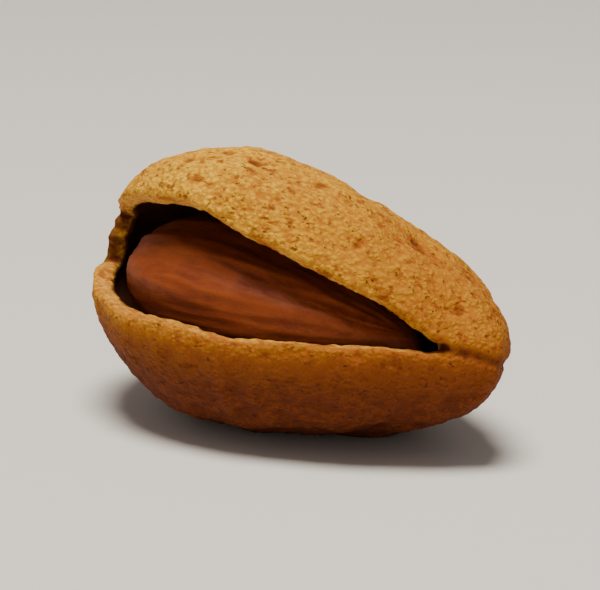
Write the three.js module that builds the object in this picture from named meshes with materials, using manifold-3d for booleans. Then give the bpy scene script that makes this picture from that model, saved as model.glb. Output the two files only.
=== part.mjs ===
// An almond in its shell: the shell has split along its bellied seam, and the kernel lies inside.
// Millimetres, +Z up. The nut lies on a flat spot of its lower half, tip towards +X, mouth towards -Y.
import * as THREE from 'three';
import { mergeVertices } from 'three/addons/utils/BufferGeometryUtils.js';
import Module from 'manifold-3d';

// Shell: the seam's outline lies in the nut's own XY plane, and each half bulges along its Z.
const NUT_LENGTH = 33;
const BELLY_REACH = 10.9; // from the long axis to the bellied edge, at -Y, where the seam has split
const BACK_REACH = 9.6; // from the long axis to the straighter back, at +Y, where the halves stay joined
const UPPER_BULGE = 7.3; // height of the upper half above the seam plane
const LOWER_BULGE = 8.0; // depth of the lower half below it
const BULGE_TOP = new THREE.Vector2(-2.6, -0.4); // where each half stands highest
const TIP_POINT = 0.46; // 0 gives a round end at the tip, 1 a straight-sided point
const TIP_HOOK = 0.9; // sideways bend of the tip towards the back
const SEAM_EDGE = 0.28; // half height of the blunt ridge that runs along the seam
const WALL = 1.35;

// Mouth: the halves swing apart about a line from just short of the tip to just past the blunt end.
const HINGE_TIP = new THREE.Vector2(15.0, -1.7);
const HINGE_BACK = new THREE.Vector2(-15.6, 3.0);
const OPEN_SLOPE = 0.34; // half opening gained for each millimetre away from that line
const OPEN_BLEND = 0.7; // width over which the swing fades out at the line
const STEM_PINCH = 0.5; // share by which the halves stay closer together at the stem end
const MOUTH_TIP_ANGLE = 0.42; // where the split starts, as an angle from the tip round the belly
const MOUTH_BACK_ANGLE = 2.66; // where it ends, at the blunt end
const MOUTH_INNER = 0.6; // the cut runs from the hollow to past the outside, as shares of the outline
const MOUTH_OUTER = 1.25;
const LIP_WAVE = 0.16; // unevenness of the two torn lips

// Relief of the shell: broad lumps and a scatter of pits.
const LUMP_HEIGHT = 0.16;
const PITS_PER_HALF = 46;
const PIT_RADIUS = [0.75, 1.25];
const PIT_DEPTH = 0.34;

// Kernel: a flattened drop, wrinkled along its length, lying in the lower half.
const KERNEL_LENGTH = 25;
const KERNEL_HALF_WIDTH = 7.4;
const KERNEL_HALF_THICKNESS = 5.1;
const KERNEL_POINT = 0.5;
const KERNEL_WRINKLES = 13;
const WRINKLE_HEIGHT = 0.11;
const KERNEL_PLACE = new THREE.Vector3(-0.7, -1.8, -0.7);
const KERNEL_TILT = 7; // degrees, its belly edge down with the lower half

// Pose on the surface, in degrees, and the depth of the flat spot that it rests on.
const MOUTH_UP = 20;
const TIP_DOWN = 3;
const FLAT_SPOT_DEPTH = 0.36;

// Fineness of the surfaces: rows from the seam to the top of a half, and steps along and across.
const SHELL_ROWS = 32;
const HOLLOW_ROWS = 14;
const MOUTH_STEPS = [44, 4];
const KERNEL_STEPS = [52, 24];

const wasm = await Module();
wasm.setup();

// Closed geometry with only positions, its shared vertices merged.
function welded(geometry) {
  geometry.deleteAttribute('normal');
  geometry.deleteAttribute('uv');
  return mergeVertices(geometry);
}

function toSolid(geometry) {
  return new wasm.Manifold(
    new wasm.Mesh({
      numProp: 3,
      vertProperties: geometry.attributes.position.array,
      triVerts: new Uint32Array(geometry.index.array),
    }),
  );
}

function toGeometry(solid) {
  const mesh = solid.getMesh();
  const geometry = new THREE.BufferGeometry();
  geometry.setAttribute('position', new THREE.BufferAttribute(mesh.vertProperties, 3));
  geometry.setIndex(new THREE.BufferAttribute(mesh.triVerts, 1));
  geometry.computeVertexNormals();
  return geometry;
}

// Moves every vertex of a geometry to where place(vertex) says.
function reshape(geometry, place) {
  const positions = geometry.attributes.position;
  const vertex = new THREE.Vector3();
  for (let i = 0; i < positions.count; i++) {
    vertex.fromBufferAttribute(positions, i);
    const moved = place(vertex);
    positions.setXYZ(i, moved.x, moved.y, moved.z);
  }
  return geometry;
}

// A fixed number between 0 and 1 for each whole number.
function draw(index) {
  const scattered = Math.sin(index * 12.9898 + 4.1) * 43758.5453;
  return scattered - Math.floor(scattered);
}

// Width of a drop at an angle from its point, 1 at its widest.
function dropWidth(angle, point) {
  const widest = Math.acos(-point / (2 + point));
  const width = (a) => Math.sin(a) * Math.pow(Math.abs(Math.sin(a / 2)), point);
  return width(angle) / width(widest);
}

// The seam's outline: angle 0 is the tip, pi the blunt stem end, negative angles the belly.
function seamOutline(angle, inset, point) {
  const reach = (BELLY_REACH + BACK_REACH) / 2 - ((BELLY_REACH - BACK_REACH) / 2) * Math.sin(angle);
  const x = (NUT_LENGTH / 2 - inset) * Math.cos(angle);
  const towardsTip = (1 + Math.cos(angle)) / 2;
  const y = (reach - inset) * dropWidth(angle, point) + TIP_HOOK * Math.pow(towardsTip, 3);
  return new THREE.Vector2(x, y);
}

// A place on the seam plane: share 0 is below the top of the bulge and 1 on the outline. The rings in
// between turn from a plain oval into the pointed outline.
function ringPoint(share, angle, inset) {
  const point = TIP_POINT * Math.min(1, share * share);
  return seamOutline(angle, inset, point).sub(BULGE_TOP).multiplyScalar(share).add(BULGE_TOP);
}

// Half of the opening between the shell's halves at a place on the seam plane.
function halfOpening(place) {
  const along = HINGE_BACK.clone().sub(HINGE_TIP).normalize();
  const from = place.clone().sub(HINGE_TIP);
  const away = along.x * from.y - along.y * from.x;
  const towardsStem = THREE.MathUtils.clamp((-3 - place.x) / 13, 0, 1);
  const slope = OPEN_SLOPE * (1 - STEM_PINCH * towardsStem * towardsStem);
  return (slope * (away + Math.hypot(away, OPEN_BLEND))) / 2;
}

// A point of a shell half: share 0 is the top of the bulge and 1 the seam, side is +1 or -1.
function halfPoint(share, angle, side, inset) {
  const place = ringPoint(share, angle, inset);
  const towardsTip = (1 + Math.cos(angle)) / 2;
  const belly = (1 - Math.sin(angle)) / 2;
  const roundness = 0.52 + 0.03 * towardsTip + 0.22 * (1 - towardsTip) ** 2 + 0.05 * belly;
  const deepest = (side > 0 ? UPPER_BULGE : LOWER_BULGE) - inset;
  const bulge = deepest * Math.pow(Math.max(0, 1 - share * share), roundness);
  const height = bulge + SEAM_EDGE + halfOpening(place);
  return new THREE.Vector3(place.x, place.y, side * height);
}

// Both halves as one closed body, with the mouth still filled between the lips. The rows of an eight-sided
// ball run round the seam: the middle row is the upper lip, and the row below it the lower lip.
function halves(rows, inset) {
  const ball = welded(new THREE.OctahedronGeometry(1, rows - 1));
  return reshape(ball, (v) => {
    const level = Math.abs(v.x) + Math.abs(v.y);
    const turn = level > 0 ? ((Math.abs(v.y) / level) * Math.PI) / 2 : 0;
    const angle = (v.y < 0 ? -1 : 1) * (v.x < 0 ? Math.PI - turn : turn);
    const side = v.z < -1e-6 ? -1 : 1;
    const row = (rows * Math.abs(v.z)) / (level + Math.abs(v.z));
    const climb = side > 0 ? row / rows : (row - 1) / (rows - 1);
    return halfPoint(Math.cos((climb * Math.PI) / 2), angle, side, inset);
  });
}

// Centres and sizes of the pits, spread over both halves by the golden angle.
function pitList() {
  const pits = [];
  for (const side of [1, -1]) {
    for (let i = 0; i < PITS_PER_HALF; i++) {
      const seed = i + (side > 0 ? 0 : PITS_PER_HALF);
      const share = 0.95 * Math.sqrt((i + draw(seed)) / PITS_PER_HALF);
      const turned = i * 2.39996 + 0.5 * draw(seed + 500);
      const angle = THREE.MathUtils.euclideanModulo(turned, 2 * Math.PI) - Math.PI;
      const radius = THREE.MathUtils.lerp(PIT_RADIUS[0], PIT_RADIUS[1], draw(seed + 900));
      pits.push({ centre: halfPoint(share, angle, side, 0), radius });
    }
  }
  return pits;
}

// Height of the relief at a point of the shell's outside.
function relief(point, pits) {
  const long = Math.sin(0.62 * point.x + 1.3 * Math.sin(0.5 * point.y));
  const cross = Math.sin(1.1 * point.y + 0.7 * point.z + 1.1 * Math.sin(0.35 * point.x));
  let height = LUMP_HEIGHT * long * cross;
  for (const pit of pits) {
    const share = point.distanceTo(pit.centre) / pit.radius;
    if (share < 1) height -= PIT_DEPTH * (1 - share * share) ** 2;
  }
  return height;
}

// The shell's outside, with the relief raised along its normals.
function outside() {
  const smooth = halves(SHELL_ROWS, 0);
  smooth.computeVertexNormals();
  const normals = smooth.attributes.normal;
  const pits = pitList();
  let index = 0;
  reshape(smooth, (v) => {
    const normal = new THREE.Vector3().fromBufferAttribute(normals, index++);
    return v.clone().addScaledVector(normal, relief(v, pits));
  });
  return welded(smooth);
}

// The space between the lips, from the hollow to past the outside, uneven where the seam tore.
function mouth() {
  const block = new THREE.BoxGeometry(1, 1, 2, MOUTH_STEPS[0], MOUTH_STEPS[1], 1);
  return welded(
    reshape(block, (v) => {
      const round = THREE.MathUtils.lerp(MOUTH_BACK_ANGLE, MOUTH_TIP_ANGLE, v.x + 0.5);
      const angle = round > Math.PI ? 2 * Math.PI - round : -round;
      const share = THREE.MathUtils.lerp(MOUTH_OUTER, MOUTH_INNER, v.y + 0.5);
      const place = ringPoint(share, angle, 0);
      const opening = halfOpening(place);
      const wave = Math.sin(7.3 * round + 1.7 * v.z) + 0.6 * Math.sin(13.1 * round - 2.1 * v.z);
      const uneven = LIP_WAVE * wave * Math.min(1, opening);
      return new THREE.Vector3(place.x, place.y, v.z * (opening + uneven));
    }),
  );
}

// The kernel in its own frame: point at +X, flat faces up and down, wrinkles from end to end.
function kernelBody() {
  const ball = new THREE.SphereGeometry(1, KERNEL_STEPS[0], KERNEL_STEPS[1]).rotateZ(-Math.PI / 2);
  return welded(
    reshape(ball, (v) => {
      const fromTip = Math.acos(THREE.MathUtils.clamp(v.x, -1, 1));
      const round = Math.atan2(v.z, v.y);
      const width = dropWidth(fromTip, KERNEL_POINT);
      const sway = 0.5 * Math.sin(2.2 * fromTip) + 0.35 * Math.sin(3 * round);
      const wrinkle = WRINKLE_HEIGHT * width * Math.sin(KERNEL_WRINKLES * round + 2 * sway);
      const across = KERNEL_HALF_WIDTH * width + wrinkle;
      const up = KERNEL_HALF_THICKNESS * width + wrinkle;
      return new THREE.Vector3((KERNEL_LENGTH / 2) * v.x, across * Math.cos(round), up * Math.sin(round));
    }),
  );
}

const nut = new THREE.Group();
nut.rotation.set(
  THREE.MathUtils.degToRad(-MOUTH_UP),
  THREE.MathUtils.degToRad(TIP_DOWN),
  0,
);
nut.updateMatrix();

// Shell: the outside less the hollow and the mouth, trimmed level where it rests.
const hollow = toSolid(halves(HOLLOW_ROWS, WALL));
const openShell = toSolid(outside()).subtract(hollow).subtract(toSolid(mouth()));
const posed = new THREE.Box3().setFromBufferAttribute(
  toGeometry(openShell).applyMatrix4(nut.matrix).attributes.position,
);
const restingHeight = posed.min.z + FLAT_SPOT_DEPTH;
const underSurface = new THREE.BoxGeometry(NUT_LENGTH * 2, NUT_LENGTH * 2, NUT_LENGTH)
  .translate(0, 0, restingHeight - NUT_LENGTH / 2)
  .applyMatrix4(nut.matrix.clone().invert());
const shellSolid = openShell.subtract(toSolid(welded(underSurface)));

const shell = new THREE.Mesh(
  toGeometry(shellSolid),
  new THREE.MeshStandardMaterial({ color: 0xc8933f, roughness: 0.85, metalness: 0 }),
);
shell.name = 'shell';

const kernel = new THREE.Mesh(
  kernelBody(),
  new THREE.MeshStandardMaterial({ color: 0x6e3210, roughness: 0.6, metalness: 0 }),
);
kernel.name = 'kernel';
kernel.position.copy(KERNEL_PLACE);
kernel.rotation.x = THREE.MathUtils.degToRad(KERNEL_TILT);

// The origin is on the surface, under the middle of the nut.
nut.add(shell, kernel);
nut.position.set(-(posed.min.x + posed.max.x) / 2, -(posed.min.y + posed.max.y) / 2, -restingHeight);

const almond = new THREE.Group();
almond.add(nut);

export default almond;
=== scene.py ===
import math

import bmesh
import bpy
import numpy as np
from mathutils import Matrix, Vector, noise


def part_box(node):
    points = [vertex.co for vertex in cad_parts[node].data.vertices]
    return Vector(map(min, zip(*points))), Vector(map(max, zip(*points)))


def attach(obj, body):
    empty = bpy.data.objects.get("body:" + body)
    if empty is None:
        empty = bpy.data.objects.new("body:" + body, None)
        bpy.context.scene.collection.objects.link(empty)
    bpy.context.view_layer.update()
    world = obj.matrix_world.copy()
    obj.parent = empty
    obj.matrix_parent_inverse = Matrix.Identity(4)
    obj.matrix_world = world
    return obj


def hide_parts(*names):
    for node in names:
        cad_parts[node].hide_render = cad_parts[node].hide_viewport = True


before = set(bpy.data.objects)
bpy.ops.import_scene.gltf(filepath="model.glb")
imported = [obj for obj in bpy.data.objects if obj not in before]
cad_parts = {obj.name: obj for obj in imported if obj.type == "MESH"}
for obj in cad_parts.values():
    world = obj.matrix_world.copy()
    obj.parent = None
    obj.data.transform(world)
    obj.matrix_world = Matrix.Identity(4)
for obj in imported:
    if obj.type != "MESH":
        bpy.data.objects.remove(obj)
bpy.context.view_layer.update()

bl_info = {
    "name": "Split Almond",
    "version": (1, 0, 0),
    "blender": (4, 5, 0),
    "location": "View3D > Sidebar > Almond",
    "description": "An almond in its split shell: corky pitted shell, wrinkled kernel and a small stage",
    "category": "Add Mesh",
}

MM = 0.001

# Places of the shell, in millimetres
SEAM_UP = Vector((0.052, 0.342, 0.938))  # across the plane between the halves
SEAM_MIDDLE = Vector((0.06, 1.19, 8.0))  # a point of that plane
TORN_END = Vector((-14.5, -3.75, 10.65))  # where the split ends beside the stem
STEM_SIDE = (-9.5, -11.5)  # x where the wall beside the stem begins and is full
AXIS_ENDS = (-11.0, 13.0)  # the nut's axis, along x
AXIS_MIDDLE = (0.5, 8.2)  # its y and z at x = 0
AXIS_FALL = 0.049  # how much it falls towards the tip

# How far a place of the shell faces away from the axis
OUTER_FACING = (0.08, 0.42)
INNER_FACING = (-0.2, -0.55)

# Rounds of smoothing
FACET_ROUNDS = 3
SHELL_MEAN_ROUNDS = 30
KERNEL_MEAN_ROUNDS = 24

# Stage, in metres
AIM_HEIGHT = 0.0086
KEY_PLACE = (0.02, -0.05, 0.42)
KEY_SIZE = 0.2
KEY_COLOUR = (1.0, 0.95, 0.86)
FILL_PLACE = (0.35, -0.4, 0.12)
FILL_SIZE = 0.3
FILL_COLOUR = (1.0, 0.98, 0.95)
LAMP_AIM = (0, 0, 0.01)
FLOOR_HALF = 2.0
SENSOR_WIDTH = 36


def tint(red, green, blue):
    """A colour as seen on a screen, 0 to 255, turned into scene values."""
    return tuple(
        c / 12.92 if c <= 0.04045 else ((c + 0.055) / 1.055) ** 2.4
        for c in (red / 255, green / 255, blue / 255)
    )


def length_property(label, words, default):
    return bpy.props.FloatProperty(
        name=label, description=words, default=default, min=0, unit="LENGTH", precision=5
    )


def colour_property(label, words, default):
    return bpy.props.FloatVectorProperty(
        name=label, description=words, default=default, size=3, min=0, max=1, subtype="COLOR"
    )


def angle_property(label, words, degrees):
    return bpy.props.FloatProperty(
        name=label, description=words, default=math.radians(degrees), subtype="ANGLE"
    )


def power_property(label, words, default):
    return bpy.props.FloatProperty(
        name=label, description=words, default=default, min=0, unit="POWER"
    )


class ShellSettings(bpy.types.PropertyGroup):
    step: length_property("Mesh step", "Spacing of the shell's vertices", 0.21 * MM)
    granule: length_property("Granule height", "Height of the corky granules on the outside", 0.17 * MM)
    lump: length_property("Lump height", "Height of the broader lumps on the outside", 0.07 * MM)
    pit_depth: length_property("Pit depth", "Depth of the small pits on the outside", 0.16 * MM)
    pit_spacing: length_property("Pit spacing", "Distance from one small pit to the next", 1.5 * MM)
    fissure: length_property("Fissure depth", "Depth of the lengthwise cracks", 0.13 * MM)
    tear: length_property("Torn lip", "Unevenness of the torn lips", 0.13 * MM)
    ragged: length_property("Ragged end", "Unevenness of the end of the split beside the stem", 0.9 * MM)
    seam: length_property("Seam depth", "Depth of the groove where the halves are joined", 0.16 * MM)
    scar: length_property("Stem scar", "Radius of the scar at the blunt end", 2.4 * MM)
    scar_depth: length_property("Scar depth", "Depth of the scar at the blunt end", 0.3 * MM)
    gold: colour_property("Gold", "Main colour of the outside", tint(226, 163, 26))
    straw: colour_property("Straw", "Colour of the raised granules", tint(245, 191, 46))
    russet: colour_property("Russet", "Colour of the redder patches", tint(154, 74, 14))
    # This roasted brown is mostly painted shade, on the lower half and round the end of the split; it also
    # tints the seam groove.
    roast_and_shade: colour_property("Roast", "Colour of the darker underside", tint(84, 31, 4))
    pit: colour_property("Pit", "Colour at the bottom of the pits", tint(74, 27, 6))
    lip: colour_property("Lip", "Colour of the torn lips", tint(216, 156, 58))
    # This lining brown is the inside's own tone made deeper as painted shade, so the mouth looks deep.
    lining: colour_property("Lining", "Colour of the smooth inside", tint(86, 46, 20))


class KernelSettings(bpy.types.PropertyGroup):
    step: length_property("Mesh step", "Spacing of the kernel's vertices", 0.15 * MM)
    wrinkle: length_property("Wrinkle height", "Height of the lengthwise wrinkles", 0.11 * MM)
    skin: colour_property("Skin", "Main colour of the skin", tint(130, 52, 8))
    groove: colour_property("Groove", "Colour in the grooves", tint(86, 31, 5))
    dust: colour_property("Dust", "Colour of the dusty ridges", tint(146, 67, 14))


class StageSettings(bpy.types.PropertyGroup):
    floor: colour_property("Floor", "Colour of the floor", tint(232, 228, 221))
    azimuth: angle_property("Azimuth", "Camera's angle round the nut", 47)
    elevation: angle_property("Elevation", "Camera's angle above the floor", 14)
    distance: length_property("Distance", "From the camera to the middle of the nut", 0.24)
    focal: bpy.props.FloatProperty(
        name="Focal length", description="Camera's focal length in millimetres", default=222, min=1
    )
    key: power_property("Key light", "Power of the large lamp overhead", 2.6)
    fill: power_property("Fill light", "Power of the weak lamp in front", 0.2)
    room: bpy.props.FloatProperty(
        name="Room light", description="Strength of the light from all round", default=0.22, min=0
    )


def smoothstep(low, high, value):
    """Rises from 0 at low to 1 at high, also where low is the larger."""
    share = min(1.0, max(0.0, (value - low) / (high - low)))
    return share * share * (3 - 2 * share)


def fine_copy(node, step):
    """The node's form as a fine even mesh in millimetres, its facets smoothed away."""
    bm = bmesh.new()
    bm.from_mesh(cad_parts[node].data)
    bmesh.ops.remove_doubles(bm, verts=bm.verts, dist=1e-6)
    bmesh.ops.scale(bm, vec=(1 / MM, 1 / MM, 1 / MM), verts=bm.verts)
    rough = bpy.data.meshes.new(node + "_rough")
    bm.to_mesh(rough)
    bm.free()
    carrier = bpy.data.objects.new(node + "_rough", rough)
    bpy.context.scene.collection.objects.link(carrier)
    remesh = carrier.modifiers.new("Even mesh", "REMESH")
    remesh.mode = "VOXEL"
    remesh.voxel_size = step / MM
    depsgraph = bpy.context.evaluated_depsgraph_get()
    fine = bpy.data.meshes.new_from_object(carrier.evaluated_get(depsgraph))
    bpy.data.objects.remove(carrier)
    bpy.data.meshes.remove(rough)
    if len(fine.polygons) < 1000:
        raise RuntimeError(node + " has no fine mesh")
    bm = bmesh.new()
    bm.from_mesh(fine)
    bpy.data.meshes.remove(fine)
    for _ in range(FACET_ROUNDS):
        bmesh.ops.smooth_vert(
            bm, verts=bm.verts, factor=0.5, use_axis_x=True, use_axis_y=True, use_axis_z=True
        )
    bm.normal_update()
    return bm


def height_above_mean(bm, rounds):
    """How far each vertex stands above the smoothed surface, along its normal, in millimetres."""
    bm.verts.index_update()
    bm.normal_update()
    places = np.array([v.co for v in bm.verts])
    normals = np.array([v.normal for v in bm.verts])
    edges = np.array([(e.verts[0].index, e.verts[1].index) for e in bm.edges])
    ends = np.concatenate([edges[:, 0], edges[:, 1]])
    others = np.concatenate([edges[:, 1], edges[:, 0]])
    count = np.bincount(ends, minlength=len(places))[:, None]
    mean = places.copy()
    for _ in range(rounds):
        sums = [
            np.bincount(ends, weights=mean[others, axis], minlength=len(places))
            for axis in range(3)
        ]
        mean = 0.4 * mean + 0.6 * np.stack(sums, axis=1) / count
    return np.einsum("ij,ij->i", places - mean, normals)


def finish_piece(bm, name, node, material):
    """Makes the millimetre mesh an object in the frame that stands in for the node."""
    bmesh.ops.scale(bm, vec=(MM, MM, MM), verts=bm.verts)
    for face in bm.faces:
        face.smooth = True
    mesh = bpy.data.meshes.new(name)
    bm.to_mesh(mesh)
    bm.free()
    mesh.materials.append(material)
    piece = bpy.data.objects.new(name, mesh)
    bpy.context.scene.collection.objects.link(piece)
    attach(piece, "root")
    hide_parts(node)
    return piece


class Nodes:
    """Short calls to lay out a material's nodes."""

    def __init__(self, name):
        self.material = bpy.data.materials.new(name)
        self.material.use_nodes = True
        self.tree = self.material.node_tree
        self.tree.nodes.clear()
        self.output = self.tree.nodes.new("ShaderNodeOutputMaterial")
        self.shader = self.tree.nodes.new("ShaderNodeBsdfPrincipled")
        self.tree.links.new(self.shader.outputs["BSDF"], self.output.inputs["Surface"])

    def put(self, socket, value):
        if isinstance(value, bpy.types.NodeSocket):
            self.tree.links.new(value, socket)
        elif socket.type == "RGBA":
            socket.default_value = (*value[:3], 1)
        else:
            socket.default_value = value

    def coordinates(self, scale):
        source = self.tree.nodes.new("ShaderNodeTexCoord")
        mapping = self.tree.nodes.new("ShaderNodeMapping")
        self.put(mapping.inputs["Vector"], source.outputs["Object"])
        mapping.inputs["Scale"].default_value = scale
        return mapping.outputs["Vector"]

    def place(self, axis):
        """The place along one axis of the frame, in metres."""
        source = self.tree.nodes.new("ShaderNodeTexCoord")
        split = self.tree.nodes.new("ShaderNodeSeparateXYZ")
        self.put(split.inputs["Vector"], source.outputs["Object"])
        return split.outputs[axis]

    def noise(self, vector, size, detail=3.0, roughness=0.55, distortion=0.0):
        """Noise whose lumps are about the given size, in millimetres."""
        node = self.tree.nodes.new("ShaderNodeTexNoise")
        self.put(node.inputs["Vector"], vector)
        node.inputs["Scale"].default_value = 1 / (size * MM)
        node.inputs["Detail"].default_value = detail
        node.inputs["Roughness"].default_value = roughness
        node.inputs["Distortion"].default_value = distortion
        return node.outputs["Fac"]

    def warp(self, vector, size, amount):
        """The coordinates pushed about by noise, lumps and push in millimetres."""
        node = self.tree.nodes.new("ShaderNodeTexNoise")
        self.put(node.inputs["Vector"], vector)
        node.inputs["Scale"].default_value = 1 / (size * MM)
        centred = self.tree.nodes.new("ShaderNodeVectorMath")
        centred.operation = "SUBTRACT"
        self.put(centred.inputs[0], node.outputs["Color"])
        centred.inputs[1].default_value = (0.5, 0.5, 0.5)
        pushed = self.tree.nodes.new("ShaderNodeVectorMath")
        pushed.operation = "MULTIPLY_ADD"
        self.put(pushed.inputs[0], centred.outputs["Vector"])
        pushed.inputs[1].default_value = (2 * amount * MM, 2 * amount * MM, 2 * amount * MM)
        self.put(pushed.inputs[2], vector)
        return pushed.outputs["Vector"]

    def cells(self, vector, size):
        """Rounded granules about the given size in millimetres: 0 in the middle, larger between them."""
        node = self.tree.nodes.new("ShaderNodeTexVoronoi")
        node.feature = "SMOOTH_F1"
        self.put(node.inputs["Vector"], vector)
        node.inputs["Scale"].default_value = 1 / (size * MM)
        node.inputs["Smoothness"].default_value = 0.35
        return node.outputs["Distance"]

    def attribute(self, name):
        node = self.tree.nodes.new("ShaderNodeAttribute")
        node.attribute_name = name
        return node.outputs["Fac"]

    def stretch(self, value, low, high, to_low=0.0, to_high=1.0):
        node = self.tree.nodes.new("ShaderNodeMapRange")
        node.interpolation_type = "SMOOTHSTEP"
        self.put(node.inputs["Value"], value)
        node.inputs["From Min"].default_value = low
        node.inputs["From Max"].default_value = high
        node.inputs["To Min"].default_value = to_low
        node.inputs["To Max"].default_value = to_high
        return node.outputs["Result"]

    def math(self, operation, first, second):
        node = self.tree.nodes.new("ShaderNodeMath")
        node.operation = operation
        self.put(node.inputs[0], first)
        self.put(node.inputs[1], second)
        return node.outputs["Value"]

    def mix(self, share, first, second):
        node = self.tree.nodes.new("ShaderNodeMix")
        node.data_type = "RGBA"
        self.put(node.inputs[0], share)
        self.put(node.inputs[6], first)
        self.put(node.inputs[7], second)
        return node.outputs[2]

    def bump(self, height, strength, distance, normal=None):
        node = self.tree.nodes.new("ShaderNodeBump")
        self.put(node.inputs["Height"], height)
        node.inputs["Strength"].default_value = strength
        node.inputs["Distance"].default_value = distance * MM
        if normal is not None:
            self.put(node.inputs["Normal"], normal)
        return node.outputs["Normal"]


def shell_material(settings):
    """Dry cork, gold above with painted shade in roasted brown below, darker pits, pale torn lips, a brown
    lining deepened by painted shade and a patch of painted shadow at the end of the split.
    """
    n = Nodes("corky_shell")
    along = n.coordinates((0.75, 1, 1))
    patches = n.noise(along, 5.0, 3, 0.6, 0.4)
    mottle = n.noise(along, 1.1, 4, 0.6)
    specks = n.noise(along, 0.55, 3, 0.6)
    grain = n.noise(along, 0.26, 4, 0.65)
    granules = n.cells(n.warp(along, 0.35, 0.14), 0.3)
    pores = n.stretch(n.noise(n.coordinates((0.5, 1, 1)), 0.42, 2, 0.55), 0.66, 0.73)
    # Masks of painted shade that grow towards the floor, for the lower half
    painted_shade_band = n.stretch(n.place("Z"), 6.4 * MM, 9.8 * MM, 0.85, 0)
    underside = n.stretch(n.place("Z"), 3.8 * MM, 9.0 * MM, 0.97, 0)
    towards_tip = n.stretch(n.place("X"), -3 * MM, 15 * MM, 0, 0.62)
    hollow = n.attribute("hollow")
    raised = n.attribute("raised")
    inside = n.attribute("inside")
    rim = n.attribute("rim")
    stem = n.attribute("stem")
    painted_gap_shade = n.attribute("painted_gap_shade")

    colour = n.mix(n.stretch(patches, 0.46, 0.72, 0, 0.6), settings.gold, settings.russet)
    colour = n.mix(n.stretch(mottle, 0.32, 0.5, 0.45, 0), colour, settings.russet)
    light = n.math("MULTIPLY", n.stretch(raised, 0.0, 0.06, 0.3, 1), n.stretch(grain, 0.38, 0.62, 0, 0.8))
    colour = n.mix(light, colour, settings.straw)
    colour = n.mix(n.stretch(granules, 0.4, 0.7, 0, 0.45), colour, settings.russet)
    colour = n.mix(n.stretch(grain, 0.42, 0.28, 0, 0.4), colour, settings.russet)
    colour = n.mix(n.stretch(specks, 0.46, 0.32, 0, 0.75), colour, settings.russet)
    colour = n.mix(n.stretch(hollow, 0.01, 0.09, 0, 0.75), colour, settings.russet)
    colour = n.mix(towards_tip, colour, settings.russet)
    # Painted shade: redder and then roasted brown towards the floor, mostly standing in for shade on the
    # lower half, partly a redder roasted tone; some granule texture is kept in it
    colour = n.mix(painted_shade_band, colour, settings.russet)
    colour = n.mix(underside, colour, settings.roast_and_shade)
    colour = n.mix(n.math("MULTIPLY", light, n.math("MULTIPLY", underside, 0.4)), colour, settings.russet)
    colour = n.mix(n.stretch(specks, 0.46, 0.32, 0, 0.25), colour, settings.pit)
    colour = n.mix(n.stretch(hollow, 0.04, 0.18, 0, 0.85), colour, settings.pit)
    colour = n.mix(n.math("MULTIPLY", pores, 0.75), colour, settings.pit)
    torn = n.mix(n.stretch(mottle, 0.35, 0.6, 0.8, 0), settings.lip, settings.russet)
    torn = n.mix(n.stretch(granules, 0.4, 0.7, 0, 0.5), torn, settings.russet)
    colour = n.mix(rim, colour, torn)
    colour = n.mix(stem, colour, settings.russet)
    colour = n.mix(n.math("MULTIPLY", n.attribute("seam"), 0.5), colour, settings.roast_and_shade)
    # Painted shadow: a roasted-brown patch round the end of the split stands in for the shaded gap seen
    # there
    colour = n.mix(n.math("MULTIPLY", painted_gap_shade, 0.85), colour, settings.roast_and_shade)
    # The inside's own brown, kept deeper than it is as painted shade in the mouth
    lining = n.mix(n.stretch(mottle, 0.35, 0.7, 0, 0.6), settings.lining, settings.pit)
    colour = n.mix(inside, colour, lining)
    n.put(n.shader.inputs["Base Color"], colour)

    n.put(n.shader.inputs["Roughness"], n.stretch(grain, 0.3, 0.7, 0.78, 0.95))
    n.shader.inputs["Specular IOR Level"].default_value = 0.22
    outside = n.math("SUBTRACT", 1.0, inside)
    coarse = n.bump(n.math("MULTIPLY", mottle, outside), 0.5, 0.12)
    round_tops = n.stretch(granules, 0.75, 0.0)
    beads = n.bump(n.math("MULTIPLY", round_tops, outside), 0.8, 0.12, coarse)
    holes = n.bump(n.math("MULTIPLY", n.math("MULTIPLY", pores, outside), -1.0), 0.8, 0.1, beads)
    n.put(n.shader.inputs["Normal"], n.bump(grain, 0.7, 0.08, holes))
    return n.material


def kernel_material(settings):
    """Papery brown skin with darker veins along the kernel and dusty ridges."""
    n = Nodes("kernel_skin")
    along = n.coordinates((0.16, 1, 1))
    plain = n.coordinates((1, 1, 1))
    veins = n.noise(along, 0.55, 4, 0.6, 0.3)
    clouds = n.noise(plain, 3.2, 3, 0.55)
    specks = n.noise(plain, 0.22, 2, 0.6)
    hollow = n.attribute("hollow")
    raised = n.attribute("raised")

    colour = n.mix(n.stretch(veins, 0.34, 0.6, 0.55, 0), settings.skin, settings.groove)
    colour = n.mix(n.stretch(clouds, 0.4, 0.7, 0, 0.5), colour, settings.dust)
    colour = n.mix(n.stretch(raised, 0.0, 0.07, 0, 0.55), colour, settings.dust)
    colour = n.mix(n.stretch(hollow, 0.005, 0.08, 0, 0.6), colour, settings.groove)
    colour = n.mix(n.stretch(specks, 0.55, 0.72, 0, 0.25), colour, settings.groove)
    n.put(n.shader.inputs["Base Color"], colour)

    n.put(n.shader.inputs["Roughness"], n.stretch(veins, 0.3, 0.7, 0.7, 0.56))
    n.shader.inputs["Specular IOR Level"].default_value = 0.3
    lines = n.bump(veins, 0.6, 0.09)
    n.put(n.shader.inputs["Normal"], n.bump(specks, 0.3, 0.03, lines))
    return n.material


def plain_material(name, colour, roughness):
    n = Nodes(name)
    n.put(n.shader.inputs["Base Color"], colour)
    n.shader.inputs["Roughness"].default_value = roughness
    return n.material


def shell_facing(vertex):
    """1 where the shell faces away from the nut's axis, -1 where it faces the axis, near 0 on the lips."""
    place = vertex.co
    along = min(AXIS_ENDS[1], max(AXIS_ENDS[0], place.x))
    axis = Vector((along, AXIS_MIDDLE[0], AXIS_MIDDLE[1] - AXIS_FALL * along))
    return vertex.normal.dot((place - axis).normalized())


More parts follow.
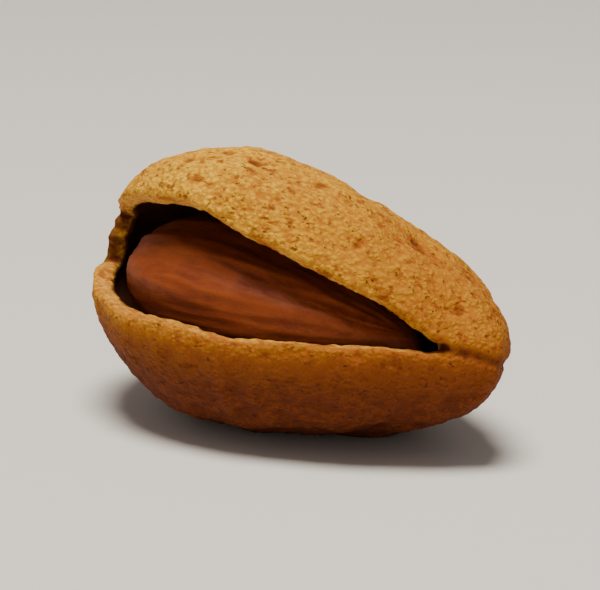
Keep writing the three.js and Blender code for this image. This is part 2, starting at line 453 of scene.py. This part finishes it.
def corky_relief(place, settings):
    """Height of the small relief of the shell's outside at a place, in millimetres."""
    drawn = Vector((0.78 * place.x, place.y, place.z))
    granules = 0.6 * noise.noise(drawn * 1.5) + 0.4 * noise.noise(drawn * 2.7 + Vector((3, 8, 5)))
    lumps = noise.noise(drawn * 0.6 + Vector((9, 2, 7)))
    near, centres = noise.voronoi(drawn * MM / settings.pit_spacing)
    kind = 0.5 + 0.5 * noise.cell(centres[0] * 31.7)
    pit = 0.0
    if kind > 0.55:
        size = 0.16 + 0.24 * kind
        pit = max(0.0, 1 - (near[0] / size) ** 2) ** 2 * (0.4 + 0.6 * kind)
    streak = noise.noise(Vector((0.2 * place.x + 7, 0.75 * place.y + 3, 0.75 * place.z + 1)))
    cracked = smoothstep(0.0, 0.35, noise.noise(place * 0.17 + Vector((2, 9, 4))))
    fissure = smoothstep(0.07, 0.0, abs(streak)) * cracked
    height = settings.granule * granules + settings.lump * lumps
    return (height - settings.pit_depth * pit - settings.fissure * fissure) / MM


class ALMOND_OT_shell(bpy.types.Operator):
    """Make the corky shell with its torn lips and smooth lining"""

    bl_idname = "almond.shell"
    bl_label = "Shell"

    def execute(self, context):
        settings = context.scene.almond_shell
        bm = fine_copy("shell", settings.step)
        inside = bm.verts.layers.float.new("inside")
        rim = bm.verts.layers.float.new("rim")
        hollow = bm.verts.layers.float.new("hollow")
        raised = bm.verts.layers.float.new("raised")
        stem = bm.verts.layers.float.new("stem")
        painted_gap_shade = bm.verts.layers.float.new("painted_gap_shade")
        seam = bm.verts.layers.float.new("seam")
        blunt_end = min((v.co for v in bm.verts), key=lambda place: place.x).copy()
        scar = settings.scar / MM
        to_stem = blunt_end - TORN_END
        to_stem -= to_stem.dot(SEAM_UP) * SEAM_UP
        to_stem.normalize()
        moves = []
        for v in bm.verts:
            # Outside, lips and lining
            facing = shell_facing(v)
            outer = smoothstep(*OUTER_FACING, facing)
            v[inside] = smoothstep(*INNER_FACING, facing)
            v[rim] = max(0.0, 1 - outer - v[inside])
            # Painted shade: the upright end face of the wall beside the stem counts as inside, so it takes
            # the lining colour and reads as the shaded gap
            upright = smoothstep(0.8, 0.5, abs(v.normal.dot(SEAM_UP)))
            painted_shade_end_face = v[rim] * upright * smoothstep(*STEM_SIDE, v.co.x)
            v[inside] += painted_shade_end_face
            v[rim] -= painted_shade_end_face
            height = outer * corky_relief(v.co, settings)
            torn = noise.fractal(v.co * 1.3 + Vector((5, 5, 5)), 0.9, 2.0, 2) * settings.tear / MM
            height += v[rim] * torn + v[inside] * 0.02 * noise.noise(v.co * 0.9)
            # Scar at the stem
            off = (v.co - blunt_end).length
            v[stem] = 0.9 * smoothstep(2.0 * scar, 0.6 * scar, off)
            height -= settings.scar_depth / MM * outer * smoothstep(scar, 0.5 * scar, off)
            # Ragged end of the split, with a patch of painted shadow round it
            aside = v.co - TORN_END
            aside -= 0.62 * aside.dot(SEAM_UP) * SEAM_UP
            v[painted_gap_shade] = smoothstep(1.35, 0.85, aside.length + 0.5 * noise.noise(v.co * 1.6))
            ragged = noise.fractal(Vector((2, 6, 0.7 * v.co.z)), 0.9, 2.0, 3)
            tear_back = to_stem * ragged * smoothstep(2.6, 0.5, aside.length) * settings.ragged / MM
            # Groove where the halves are joined
            off_seam = abs((v.co - SEAM_MIDDLE).dot(SEAM_UP)) + 0.12 * noise.noise(v.co * 0.8)
            v[seam] = outer * smoothstep(0.42, 0.1, off_seam)
            height -= settings.seam / MM * v[seam]
            moves.append(v.normal * height * smoothstep(0.0, 0.4, v.co.z) + tear_back)
        for v, move in zip(bm.verts, moves):
            v.co += move
            v.co.z = max(0.0, v.co.z)
        bmesh.ops.smooth_vert(
            bm, verts=bm.verts, factor=0.25, use_axis_x=True, use_axis_y=True, use_axis_z=True
        )
        for v, height in zip(bm.verts, height_above_mean(bm, SHELL_MEAN_ROUNDS)):
            v[hollow] = max(0.0, -height)
            v[raised] = max(0.0, height)
        finish_piece(bm, "almond_shell", "shell", shell_material(settings))
        return {"FINISHED"}


class ALMOND_OT_kernel(bpy.types.Operator):
    """Make the kernel with its wrinkled skin"""

    bl_idname = "almond.kernel"
    bl_label = "Kernel"

    def execute(self, context):
        settings = context.scene.almond_kernel
        bm = fine_copy("kernel", settings.step)
        hollow = bm.verts.layers.float.new("hollow")
        raised = bm.verts.layers.float.new("raised")
        low, high = (Vector(corner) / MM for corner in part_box("kernel"))
        middle = (low + high) / 2
        half = (high - low) / 2
        moves = []
        for v in bm.verts:
            out = v.co - middle
            turn = math.atan2(out.z / half.z, out.y / half.y)
            ring = Vector((0.09 * out.x, 3.6 * math.cos(turn), 3.6 * math.sin(turn)))
            fold = noise.noise(ring + Vector((1, 4, 2)))
            ridge = 1 - 2 * abs(noise.noise(ring * 2.1 + Vector((8, 1, 6))))
            vein = noise.noise(Vector((0.4 * out.x, 14 * math.cos(turn), 14 * math.sin(turn))))
            height = 0.5 * fold + 0.55 * ridge + 0.3 * vein
            moves.append(v.normal * height * settings.wrinkle / MM)
        for v, move in zip(bm.verts, moves):
            v.co += move
        for v, height in zip(bm.verts, height_above_mean(bm, KERNEL_MEAN_ROUNDS)):
            v[hollow] = max(0.0, -height)
            v[raised] = max(0.0, height)
        finish_piece(bm, "almond_kernel", "kernel", kernel_material(settings))
        return {"FINISHED"}


class ALMOND_OT_stage(bpy.types.Operator):
    """Add the pale floor, the soft lamps and the camera"""

    bl_idname = "almond.stage"
    bl_label = "Stage"

    def lamp(self, context, name, place, size, power, colour):
        data = bpy.data.lights.new(name, "AREA")
        data.shape = "DISK"
        data.size = size
        data.energy = power
        data.color = colour
        lamp = bpy.data.objects.new(name, data)
        lamp.location = place
        lamp.rotation_euler = (Vector(LAMP_AIM) - Vector(place)).to_track_quat("-Z", "Y").to_euler()
        context.scene.collection.objects.link(lamp)

    def execute(self, context):
        settings = context.scene.almond_stage
        bm = bmesh.new()
        bmesh.ops.create_grid(bm, x_segments=1, y_segments=1, size=FLOOR_HALF)
        mesh = bpy.data.meshes.new("floor")
        bm.to_mesh(mesh)
        bm.free()
        mesh.materials.append(plain_material("pale_floor", settings.floor, 0.8))
        floor = bpy.data.objects.new("floor", mesh)
        context.scene.collection.objects.link(floor)

        self.lamp(context, "key_lamp", KEY_PLACE, KEY_SIZE, settings.key, KEY_COLOUR)
        self.lamp(context, "fill_lamp", FILL_PLACE, FILL_SIZE, settings.fill, FILL_COLOUR)
        world = bpy.data.worlds.new("soft_room")
        world.use_nodes = True
        background = world.node_tree.nodes["Background"]
        background.inputs["Color"].default_value = (*FILL_COLOUR, 1)
        background.inputs["Strength"].default_value = settings.room
        context.scene.world = world

        data = bpy.data.cameras.new("camera")
        data.lens = settings.focal
        data.sensor_width = SENSOR_WIDTH
        data.clip_start = 0.01
        camera = bpy.data.objects.new("camera", data)
        aim = Vector((0, 0, AIM_HEIGHT))
        level = math.cos(settings.elevation) * settings.distance
        camera.location = aim + Vector((
            level * math.sin(settings.azimuth),
            -level * math.cos(settings.azimuth),
            settings.distance * math.sin(settings.elevation),
        ))
        camera.rotation_euler = (aim - camera.location).to_track_quat("-Z", "Y").to_euler()
        context.scene.collection.objects.link(camera)
        context.scene.camera = camera
        return {"FINISHED"}


class ALMOND_PT_panel(bpy.types.Panel):
    bl_idname = "ALMOND_PT_panel"
    bl_label = "Split Almond"
    bl_space_type = "VIEW_3D"
    bl_region_type = "UI"
    bl_category = "Almond"

    def draw(self, context):
        groups = (
            ("almond.shell", context.scene.almond_shell),
            ("almond.kernel", context.scene.almond_kernel),
            ("almond.stage", context.scene.almond_stage),
        )
        for operator, settings in groups:
            box = self.layout.box()
            for name in settings.__annotations__:
                box.prop(settings, name)
            box.operator(operator)


CLASSES = (
    ShellSettings,
    KernelSettings,
    StageSettings,
    ALMOND_OT_shell,
    ALMOND_OT_kernel,
    ALMOND_OT_stage,
    ALMOND_PT_panel,
)


def register():
    for cls in CLASSES:
        bpy.utils.register_class(cls)
    bpy.types.Scene.almond_shell = bpy.props.PointerProperty(type=ShellSettings)
    bpy.types.Scene.almond_kernel = bpy.props.PointerProperty(type=KernelSettings)
    bpy.types.Scene.almond_stage = bpy.props.PointerProperty(type=StageSettings)


def unregister():
    del bpy.types.Scene.almond_stage
    del bpy.types.Scene.almond_kernel
    del bpy.types.Scene.almond_shell
    for cls in reversed(CLASSES):
        bpy.utils.unregister_class(cls)


def main():
    register()
    bpy.ops.almond.shell()
    bpy.ops.almond.kernel()
    bpy.ops.almond.stage()


if __name__ == "__main__":
    main()
